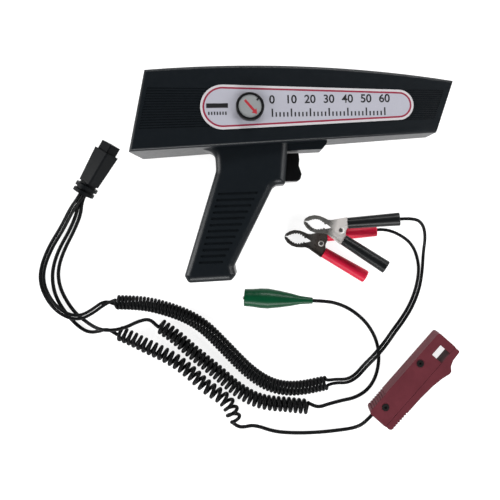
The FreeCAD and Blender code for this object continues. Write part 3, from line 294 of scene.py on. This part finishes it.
def make_materials():
    """Every material by its slot name, and the ones of the printing."""
    made = {}

    def add(name, color, rough, **more):
        made[name] = finish_material(name, color, rough, **more)

    add("case_plastic", (0.0032, 0.0046, 0.0060), 0.36, specular=0.17, grain=0.030, grain_size=0.5)
    add("screw_steel", (0.40, 0.38, 0.36), 0.30, metallic=1.0)
    add("clear_lens", (0.85, 0.90, 0.92), 0.05, transmission=0.9, ior=1.58, mottle=0.02,
        rough_mottle=0.02)
    add("bright_metal", (0.90, 0.90, 0.91), 0.08, metallic=1.0)
    add("tube_glass", (0.95, 0.96, 0.97), 0.04, transmission=0.85, mottle=0.02, rough_mottle=0.02)
    add("white_plastic", (0.40, 0.39, 0.36), 0.45)
    add("board", (0.010, 0.085, 0.028), 0.35)
    add("capacitor_sleeve", (0.010, 0.016, 0.07), 0.3)
    # ferrite is dark of its own, and it is made darker still with no specular so that the clamp's slot
    # shows painted shade
    add("ferrite", (0.002, 0.002, 0.0022), 0.60, specular=0.0, grain=0.02)
    add("grey_metal", (0.45, 0.45, 0.47), 0.35, metallic=1.0)
    add("black_plastic", (0.004, 0.004, 0.005), 0.45)
    add("brass_contact", (0.60, 0.42, 0.16), 0.30, metallic=1.0)
    add("cord_vinyl", (0.0022, 0.0024, 0.0027), 0.40, mottle=0.2, specular=0.06, grain=0.012,
        grain_size=0.9)
    add("label_face", (0.262, 0.262, 0.297), 0.36, mottle=0.03)
    add("label_rim", (0.345, 0.335, 0.345), 0.34, mottle=0.02)
    add("label_line", (0.165, 0.010, 0.028), 0.36, mottle=0.05)
    add("print_black", (0.0035, 0.0035, 0.0045), 0.40, mottle=0.05)
    add("knob_plastic", (0.0026, 0.0028, 0.0032), 0.34, specular=0.25)
    add("knob_cap", (0.158, 0.165, 0.168), 0.40, mottle=0.04)
    add("pointer_red", (0.24, 0.012, 0.020), 0.40, mottle=0.06)
    add("trigger_plastic", (0.0014, 0.0014, 0.0016), 0.32, specular=0.2)
    add("spring_steel", (0.30, 0.30, 0.30), 0.28, metallic=1.0)
    add("connector_plastic", (0.0034, 0.0040, 0.0046), 0.42, specular=0.07, grain=0.03,
        grain_size=0.45)
    add("nickel_steel", (0.44, 0.41, 0.395), 0.34, metallic=0.55, mottle=0.16, rough_mottle=0.12)
    add("red_vinyl", (0.375, 0.0060, 0.0270), 0.42, specular=0.16, mottle=0.16, grain=0.03,
        grain_size=1.4)
    add("black_vinyl", (0.0024, 0.0030, 0.0034), 0.38, specular=0.18, mottle=0.2, grain=0.02,
        grain_size=1.6)
    add("green_vinyl", (0.0003, 0.0330, 0.0120), 0.34, specular=0.15, mottle=0.18, grain=0.03,
        grain_size=1.8)
    add("clamp_plastic", (0.069, 0.0145, 0.0195), 0.46, specular=0.05, mottle=0.26, grain=0.03,
        grain_size=0.7)
    add("copper_wire", (0.45, 0.18, 0.06), 0.30, metallic=1.0)
    add("black_steel", (0.012, 0.011, 0.011), 0.35, metallic=0.6)
    return made


def paint(obj, material):
    """Gives an object one material in place of any it has."""
    obj.data.materials.clear()
    obj.data.materials.append(material)


def paint_nodes(materials):
    """Every CAD node gets the material of its slot in the record."""
    for entry in record["subparts"]:
        node = frame["nodes"][entry["node"]]
        paint(node, materials[entry["material_slot"]])
    # the red clip's colours are painted shade, both clips' jaws get painted reflection and the rivets a
    # painted highlight
    for name, plate, jaw_painted_light, base in (("red", RED_PLATE_PAINTED_SHADE, RED_JAW_PAINTED_SHADE_AND_REFLECTION, RED),
                                   ("black", BLACK_PLATE, BLACK_JAW_PAINTED_REFLECTION, BLACK)):
        metal = clip_metal(name + "_clip_metal", plate, jaw_painted_light, base)
        paint(frame["nodes"][name + "_jaw_fixed"], metal)
        paint(frame["nodes"][name + "_jaw_moving"], metal)


# ------------------------------------------------------------------ the dial side of the barrel
# The barrel grows thinner towards the lens. All sizes are in millimetres.
BARREL_HALF = 22.25
SLOPE = 0.0553
TAPER = math.atan(SLOPE)
LEAN = Matrix.Rotation(TAPER, 4, "Y")
GUN = Matrix.Translation((0, 0, BARREL_HALF * math.cos(TAPER))) @ LEAN
SIDE = GUN @ Matrix.Translation((0, 0, BARREL_HALF)) @ LEAN
LABEL_TOP = 0.5
LINE_INSET = 1.8
LINE_TOP = LABEL_TOP + 0.03
FIELD_INSET = 3.2
FIELD_TOP = LABEL_TOP + 0.06
INK_LOW = LABEL_TOP + 0.05
INK_TOP = LABEL_TOP + 0.09
MIDDLE = 1.5
REAR_END = -76.4
FRONT_END = 95.4
REAR_HALF = 17.6
FRONT_HALF = 12.2
KNOB = (-37.6, 1.0)


def capsule_outline(inset, steps=40):
    """Outline of the label, a stadium that narrows towards the lens, drawn in by the inset."""
    rear = REAR_END + REAR_HALF
    front = FRONT_END - FRONT_HALF
    lean = math.asin((REAR_HALF - FRONT_HALF) / (front - rear))
    points = []
    for k in range(steps + 1):
        angle = -math.pi / 2 + lean + (math.pi - 2 * lean) * k / steps
        radius = FRONT_HALF - inset
        points.append((front + radius * math.cos(angle), MIDDLE + radius * math.sin(angle)))
    for k in range(steps + 1):
        angle = math.pi / 2 - lean + (math.pi + 2 * lean) * k / steps
        radius = REAR_HALF - inset
        points.append((rear + radius * math.cos(angle), MIDDLE + radius * math.sin(angle)))
    return points


def side_point(x, y, height):
    """Point over the dial side, in metres, from millimetres along, across and above it."""
    return SIDE @ Vector((x, y, height)) * MM


def turned(x, y, along, across, angle):
    """Point at a distance along and across a direction, given in radians, from another point."""
    return (x + along * math.cos(angle) - across * math.sin(angle),
            y + along * math.sin(angle) + across * math.cos(angle))


def plate_between(name, outline, low, high, material, body="gun"):
    """Flat plate on the dial side, open underneath."""
    count = len(outline)
    vertices = [side_point(x, y, height) for height in (low, high) for x, y in outline]
    faces = [(k, (k + 1) % count, count + (k + 1) % count, count + k) for k in range(count)]
    faces.append(tuple(range(count, 2 * count)))
    mesh = bpy.data.meshes.new(name)
    mesh.from_pydata(vertices, [], faces)
    mesh.update()
    mesh.materials.append(material)
    plate = bpy.data.objects.new(name, mesh)
    scene.collection.objects.link(plate)
    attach(plate, body)
    return plate


def make_label(materials):
    """Plate with a white rim, a thin red line and a lavender-silver field."""
    rim = plate_between("label_plate", capsule_outline(0.0), 0.0, LABEL_TOP, materials["label_rim"])
    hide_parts("face_label")
    plate_between("label_line", capsule_outline(LINE_INSET), LABEL_TOP, LINE_TOP,
                  materials["label_line"])
    plate_between("label_field", capsule_outline(FIELD_INSET), LABEL_TOP, FIELD_TOP,
                  materials["label_face"])


def box_outline(x, y, length, width, angle=0.0):
    """Corners of a flat bar about its middle, turned by an angle in radians."""
    return [turned(x, y, u * length, v * width, angle)
            for u, v in ((-0.5, -0.5), (0.5, -0.5), (0.5, 0.5), (-0.5, 0.5))]


NUMERAL_SIZE = 9.2
NUMERAL_BOLDNESS = 0.020


def number_on_label(value, x, y, material):
    """Upright numeral of the advance scale, centred on a point of the label."""
    data = bpy.data.curves.new("numeral", "FONT")
    data.body = str(value)
    data.size = NUMERAL_SIZE
    data.align_x = "CENTER"
    data.align_y = "CENTER"
    data.offset = NUMERAL_BOLDNESS * NUMERAL_SIZE
    text = bpy.data.objects.new("numeral", data)
    scene.collection.objects.link(text)
    bpy.context.view_layer.update()
    mesh = bpy.data.meshes.new_from_object(text)
    bpy.data.objects.remove(text)
    for vertex in mesh.vertices:
        vertex.co = side_point(x + vertex.co.x, y + vertex.co.y, INK_TOP)
    number = bpy.data.objects.new("scale_number_%d" % value, mesh)
    scene.collection.objects.link(number)
    mesh.materials.append(material)
    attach(number, "gun")


SCALE_START = -20.0
SCALE_STEP = 15.2
SCALE_NUMBERS = 7
TICKS_PER_STEP = 5
SCALE_ROW = 6.6
TICK_ROW = -3.6
TICK_WIDTH = 1.2
LONG_TICK = 6.4
SHORT_TICK = 3.6
BAR_PLACE = (-63.2, 2.6)
BAR_SIZE = (17.0, 3.6)
MARKS = 7
MARK_START = -69.8
MARK_STEP = 2.2
MARK_ROW = -3.4
MARK_SIZE = (1.1, 2.6)


def make_scale(materials):
    """Plain degree scale in two rows on the lens side of the knob, and a bar with marks behind it."""
    ink = materials["print_black"]
    for k in range(SCALE_NUMBERS):
        number_on_label(10 * k, SCALE_START + SCALE_STEP * k, SCALE_ROW, ink)
    for k in range((SCALE_NUMBERS - 1) * TICKS_PER_STEP + 1):
        tall = SHORT_TICK if k % TICKS_PER_STEP else LONG_TICK
        x = SCALE_START + SCALE_STEP * k / TICKS_PER_STEP
        y = TICK_ROW + (tall - LONG_TICK) / 2
        plate_between("scale_tick_%d" % k, box_outline(x, y, TICK_WIDTH, tall), INK_LOW, INK_TOP, ink)
    plate_between("label_bar", box_outline(*BAR_PLACE, *BAR_SIZE), INK_LOW, INK_TOP, ink)
    for k in range(MARKS):
        mark = box_outline(MARK_START + MARK_STEP * k, MARK_ROW, *MARK_SIZE)
        plate_between("label_mark_%d" % k, mark, INK_LOW, INK_TOP, ink)


CAP_TOP = 5.3
STRIPE_TOP = CAP_TOP + 0.05
HEAD_TOP = CAP_TOP + 0.06
POINTER_TURN = math.radians(-50.0)
STRIPE_SIZE = (12.5, 1.9)
ARROW_HEAD = ((4.6, -2.5), (4.6, 2.5), (8.2, 0.0))
INDEX_TURN = math.radians(41.0)
INDEX_REACH = 8.0
INDEX_SIZE = (2.0, 1.4)


def make_pointer(materials):
    """Red pointer stripe with an arrow head, and a black index mark, on the knob cap."""
    x, y = KNOB
    red = materials["pointer_red"]
    plate_between("pointer_stripe", box_outline(x, y, *STRIPE_SIZE, POINTER_TURN),
                  CAP_TOP, STRIPE_TOP, red, "knob")
    head = [turned(x, y, along, across, POINTER_TURN) for along, across in ARROW_HEAD]
    plate_between("pointer_head", head, CAP_TOP, HEAD_TOP, red, "knob")
    index = turned(x, y, INDEX_REACH, 0.0, INDEX_TURN)
    plate_between("index_mark", box_outline(*index, *INDEX_SIZE, INDEX_TURN),
                  CAP_TOP, HEAD_TOP, materials["print_black"], "knob")


# ------------------------------------------------------------------ cords
# Routes are in millimetres, through listed points. Each tail ends and each front starts with
# an end of its curly stretch; that point steers the strands of a pair and isn't on the cord.
BATTERY_CORD = 2.8
SIGNAL_CORD = 3.1
BATTERY_COIL = 12.9
SIGNAL_COIL = 13.4
PICKUP_COIL = 13.2
BATTERY_PITCH = 6.14
SIGNAL_PITCH = 4.4
PICKUP_PITCH = 4.3
PICKUP_LOOSE_PITCH = 6.6
# Heights: B and L of a cord on the bench, CA, CB and CC of a coil's middle, HUMP and OVER of a
# crossing. STRAND is half the gap between the two battery strands' middles.
B = BATTERY_CORD / 2 + 0.05
L = SIGNAL_CORD / 2 + 0.05
CA = BATTERY_COIL / 2 + 0.1
CB = SIGNAL_COIL / 2 + 0.1
CC = PICKUP_COIL / 2 + 0.1
HUMP = 7.6
OVER = 18.2
STRAND = 1.5
# A helix has PER_TURN control points in a turn, closes onto its axis in the CLOSING share of one,
# and its curve lies at CURVE_SHARE of the points' radius.
PER_TURN = 12
CLOSING = 0.2
CLOSING_POWER = 0.7
CURVE_SHARE = 0.985

CONNECTOR_END = Vector((-184.2, -60.2, 10.4))
CONNECTOR_TURN = math.radians(58.0)
AHEAD = Vector((math.cos(CONNECTOR_TURN), math.sin(CONNECTOR_TURN), 0.0))
ACROSS = Vector((-AHEAD.y, AHEAD.x, 0.0))
CLIP_ANGLE = math.radians(18.7)
CLIP_SHOULDER = Vector((4.0, 7.2, 0.0))
ARM = 43.0


def exit_point(shift, lift, reach=0.0):
    """Point on the relief's end face, or beyond it along the connector axis."""
    return tuple(CONNECTOR_END + ACROSS * shift - AHEAD * reach + Vector((0.0, 0.0, lift)))


def clip_point(base, reach=0.0):
    """Point on the end of the upper sleeve of a clip, or beyond it along the sleeve."""
    heading = Vector((math.cos(CLIP_ANGLE), math.sin(CLIP_ANGLE), 0.0))
    return tuple(base @ (CLIP_SHOULDER + heading * (ARM + reach)))


battery_tail = [exit_point(0.0, 1.7), exit_point(0.0, 1.7, 6.0), (-195.3, -73.5, 8.5),
                (-206.5, -89.0, B), (-218.0, -106.0, B), (-225.6, -124.0, B), (-226.0, -138.0, B),
                (-220.0, -150.5, 3.0), (-211.0, -159.0, HUMP), (-201.5, -165.3, HUMP),
                (-191.0, -166.8, HUMP), (-181.0, -162.0, 7.0), (-170.0, -154.3, CA),
                (-161.0, -154.7, CA)]
battery_coil = [(-161.0, -154.7, CA), (-147.4, -155.3, CA), (-132.8, -157.2, CA),
                (-115.7, -162.1, CA), (-98.8, -169.0, CA), (-84.3, -178.8, CA), (-70.2, -194.0, CA),
                (-52.7, -213.5, CA), (-42.7, -222.4, CA), (-33.4, -228.6, CA), (-24.0, -232.6, CA),
                (-12.0, -234.6, CA), (1.9, -233.6, CA), (10.6, -231.9, CA), (19.5, -230.5, CA)]
battery_front = [(19.5, -230.5, CA), (27.4, -229.26, CA), (37.0, -231.0, 2.6), (45.5, -227.0, B),
                 (53.0, -218.5, B + 0.4), (61.0, -209.0, HUMP), (70.0, -199.2, HUMP),
                 (79.0, -189.5, 2.0), (87.3, -179.5, B), (95.5, -167.0, B), (101.8, -152.0, B),
                 (104.7, -137.0, B)]
pickup_tail = [exit_point(1.6, -1.6), exit_point(1.6, -1.6, 6.0), (-192.3, -77.0, 4.6),
               (-200.6, -92.0, L), (-210.5, -108.0, L), (-216.3, -124.0, L), (-216.8, -138.0, L),
               (-213.5, -151.0, L),
               (-206.0, -163.5, L), (-196.5, -174.5, L), (-187.5, -180.8, L), (-178.0, -180.2, 3.4),
               (-168.24, -177.17, CC), (-160.0, -180.8, CC)]
pickup_coil = [(-160.0, -180.8, CC), (-150.0, -185.2, CC), (-137.0, -192.5, CC), (-124.3, -198.9, CC),
               (-112.0, -206.0, CC), (-102.8, -213.2, CC), (-95.2, -220.2, CC), (-87.6, -228.0, CC),
               (-79.0, -234.6, CC), (-70.8, -240.2, CC), (-65.4, -247.0, CC), (-62.7, -254.0, CC),
               (-61.4, -261.0, CC)]
pickup_front = [(-61.4, -261.0, CC), (-58.6, -265.8, CC), (-53.2, -266.6, CC - 1.0),
                (-47.0, -265.8, 4.4), (-40.0, -267.9, 2.8), (-33.5, -271.0, L), (-24.0, -273.6, L),
                (-8.2, -275.0, L), (12.0, -275.0, L), (31.0, -273.5, L), (42.6, -270.9, 4.4),
                (50.6, -265.5, 8.5), (57.6, -258.1, 8.5)]
signal_tail = [exit_point(-1.6, -1.6), exit_point(-1.6, -1.6, 6.0), (-188.9, -78.0, 4.6),
               (-197.0, -93.0, L), (-206.3, -109.5, L), (-211.8, -125.5, L), (-210.8, -140.0, L),
               (-204.5, -154.0, L),
               (-197.0, -164.5, L), (-188.5, -171.0, 2.6), (-179.0, -174.8, 10.0),
               (-169.0, -176.2, OVER), (-158.0, -176.6, OVER), (-149.0, -174.6, OVER - 1.2),
               (-140.5, -171.0, 12.0), (-131.95, -169.8, CB), (-123.8, -175.6, CB)]
signal_coil = [(-123.8, -175.6, CB), (-112.0, -184.0, CB), (-99.4, -196.4, CB), (-86.2, -208.2, CB),
               (-73.2, -219.6, CB), (-60.6, -231.8, CB), (-48.4, -240.2, CB), (-38.0, -244.6, CB),
               (-28.6, -246.6, CB), (-17.5, -247.8, CB), (-6.4, -249.4, CB), (3.0, -250.6, CB)]
signal_front = [(3.0, -250.6, CB), (10.94, -251.61, CB), (20.5, -250.0, 2.8), (32.5, -247.8, L),
                (44.0, -245.8, L), (55.5, -239.0, L), (63.0, -227.0, L), (66.1, -211.2, L),
                (64.0, -195.5, L), (56.5, -181.5, L), (46.8, -172.0, L), (38.0, -166.2, L),
                (28.0, -161.7, 5.2), (18.27, -159.67, 8.7), (9.3, -158.95, 8.7)]


def beside(points, shift):
    """Route shifted to the left of its heading, seen from above."""
    spots = [Vector(point) for point in points]
    shifted = []
    for i, spot in enumerate(spots):
        one = spot - spots[max(i - 1, 0)]
        two = spots[min(i + 1, len(spots) - 1)] - spot
        one.z = 0.0
        two.z = 0.0
        scale = 1.0
        if one.length > 0 and two.length > 0:
            scale = 1.0 / max(math.cos(one.angle(two) / 2), 0.5)
        mean = one.normalized() + two.normalized()
        left = Vector((-mean.y, mean.x, 0.0)).normalized()
        shifted.append(tuple(spot + left * (shift * scale)))
    return shifted


positive_front = beside(battery_front, STRAND)
positive_front += [(102.4, -127.0, B), (99.3, -117.0, 2.4), (92.0, -108.0, 4.6)]
positive_front += [clip_point(RED, 9.0), clip_point(RED)]
negative_front = beside(battery_front, -STRAND)
negative_front += [(107.0, -121.0, 3.6), (107.5, -107.5, 11.5), (104.0, -96.5, 20.0)]
negative_front += [clip_point(BLACK, 12.0), clip_point(BLACK)]


def nurbs_curve(name, points, width=0.0, resolution=6):
    """Open smooth curve along control points in millimetres, as a tube if it has a width."""
    data = bpy.data.curves.new(name, "CURVE")
    data.dimensions = "3D"
    data.resolution_u = resolution
    data.bevel_depth = width / 2 * MM
    data.bevel_resolution = 4
    data.use_fill_caps = True
    spline = data.splines.new("NURBS")
    spline.points.add(len(points) - 1)
    for point, spot in zip(spline.points, points):
        point.co = (spot[0] * MM, spot[1] * MM, spot[2] * MM, 1.0)
    spline.order_u = 3
    spline.use_endpoint_u = True
    obj = bpy.data.objects.new(name, data)
    scene.collection.objects.link(obj)
    return obj


def mesh_of(curve):
    """Mesh of a curve as it stands."""
    bpy.context.view_layer.update()
    return bpy.data.meshes.new_from_object(curve)


def centre_line(curve):
    """Points along a curve's own line, in metres."""
    width = curve.data.bevel_depth
    curve.data.bevel_depth = 0.0
    mesh = mesh_of(curve)
    spots = [vertex.co.copy() for vertex in mesh.vertices]
    bpy.data.meshes.remove(mesh)
    curve.data.bevel_depth = width
    return spots


def drop_curve(curve):
    """Takes a curve and its data out of the scene."""
    data = curve.data
    bpy.data.objects.remove(curve)
    bpy.data.curves.remove(data)


def line_of(points):
    """Dense points, in millimetres, along the curve that the route makes."""
    guide = nurbs_curve("guide", points, resolution=40)
    spots = [spot / MM for spot in centre_line(guide)]
    drop_curve(guide)
    if (spots[0] - Vector(points[0])).length > (spots[-1] - Vector(points[0])).length:
        spots.reverse()
    return spots


def coil_points(points, outer, cord, first_pitch, last_pitch, phase):
    """Points of a helix that winds round the route and closes onto it at both ends."""
    spots = line_of(points)
    reach = [0.0]
    for one, two in zip(spots, spots[1:]):
        reach.append(reach[-1] + (two - one).length)
    total = reach[-1]
    radius = (outer - cord) / 2 / CURVE_SHARE
    mean_pitch = (first_pitch + last_pitch) / 2
    turns = total / mean_pitch
    steps = int(turns * PER_TURN)
    heading = (spots[1] - spots[0]).normalized()
    side = heading.cross(Vector((0, 0, 1))).normalized()
    helix = []
    at = 0
    for k in range(1, steps):
        share = k / steps
        stretch = first_pitch * share + (last_pitch - first_pitch) * share * share / 2
        along = total * stretch / mean_pitch
        while at < len(reach) - 2 and reach[at + 1] < along:
            at += 1
        part = (along - reach[at]) / max(reach[at + 1] - reach[at], 1e-6)
        middle = spots[at].lerp(spots[at + 1], part)
        heading = (spots[at + 1] - spots[at]).normalized()
        side = (side - heading * side.dot(heading)).normalized()
        up = heading.cross(side)
        angle = 2 * math.pi * k / PER_TURN + phase
        opened = min(min(k, steps - k) / (CLOSING * PER_TURN), 1.0)
        size = radius * opened ** CLOSING_POWER
        helix.append(tuple(middle + side * (size * math.cos(angle)) + up * (size * math.sin(angle))))
    return helix


def make_cord(name, tail, helix, front, width, material, nodes):
    """One free cord in one open curve: plain tail, curly run, plain front."""
    points = list(tail[:-1]) + helix + list(front[1:])
    curve = nurbs_curve(name + "_route", points, width)
    path = centre_line(curve)
    cord = bpy.data.objects.new(name, mesh_of(curve))
    scene.collection.objects.link(cord)
    drop_curve(curve)
    paint(cord, material)
    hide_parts(*nodes)
    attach(cord, "gun")


def make_cords(materials):
    """Battery pair wound side by side, then the signal and the pickup lead."""
    black = materials["cord_vinyl"]
    for name, shift, phase, front, nodes, attached, clip, length in (
            ("positive", STRAND, 0.0, positive_front, ["battery_coil"],
             ["connector_relief", "connector_body", "connector_nose", "connector_contacts"],
             "red", 1.43),
            ("negative", -STRAND, math.pi, negative_front, [], [], "black", 1.45)):
        helix = coil_points(battery_coil, BATTERY_COIL, BATTERY_CORD, BATTERY_PITCH, BATTERY_PITCH,
                            phase)
        make_cord("battery_" + name, beside(battery_tail, shift), helix, front, BATTERY_CORD, black,
                  [name + "_tail", name + "_front"] + nodes)
    helix = coil_points(signal_coil, SIGNAL_COIL, SIGNAL_CORD, SIGNAL_PITCH, SIGNAL_PITCH, 0.0)
    make_cord("signal_lead", signal_tail, helix, signal_front, SIGNAL_CORD, black,
              ["signal_tail", "signal_coil", "signal_front"])
    helix = coil_points(pickup_coil, PICKUP_COIL, SIGNAL_CORD, PICKUP_PITCH, PICKUP_LOOSE_PITCH, 0.0)
    make_cord("pickup_lead", pickup_tail, helix, pickup_front, SIGNAL_CORD, black,
              ["pickup_tail", "pickup_coil", "pickup_front"])


# ------------------------------------------------------------------ springs copied from the CAD nodes
# Small clip and inductive clamp, in millimetres, with +X along each.
SIGNAL = frame_at(-51.0, -154.1, 8.7, -4.6)
CLAMP = frame_at(60.0, -265.0, 0.0, 46.7)


def spring_copy(node, material):
    """Spring of its own in place of the CAD node."""
    spring = bpy.data.objects.new(node + "_wire", frame["nodes"][node].data.copy())
    scene.collection.objects.link(spring)
    paint(spring, material)
    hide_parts(node)
    return spring


def make_springs(materials):
    """Clip springs between the levers and coil springs at the slides, each a copy of its CAD node: the
    clip springs baked in place, the coil springs attached to the gun.
    """
    steel = materials["spring_steel"]
    for node, lever, base, pivot, half in (("red_spring", "red_lever", RED, 0.0, 2.0),
                                           ("black_spring", "black_lever", BLACK, 0.0, 2.0),
                                           ("signal_spring", "signal_lever", SIGNAL, 23.0, 0.8)):
        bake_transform(spring_copy(node, steel))
    for node, joint, base, anchor, length, travel in (
            ("trigger_spring", "trigger_pull", GUN, (-29.0, -45.5, 0.0), 14.6, 5.0),
            ("clamp_spring", "clamp_jaw_slide", CLAMP, (22.2, 10.0, 8.5), 21.4, 15.0)):
        spring = spring_copy(node, steel)
        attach(spring, "gun")
        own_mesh(spring)


make_camera()
make_world()
make_lights()
make_floor()
materials = make_materials()
paint_nodes(materials)
make_label(materials)
make_scale(materials)
make_pointer(materials)
make_springs(materials)
make_cords(materials)

bpy.context.view_layer.update()
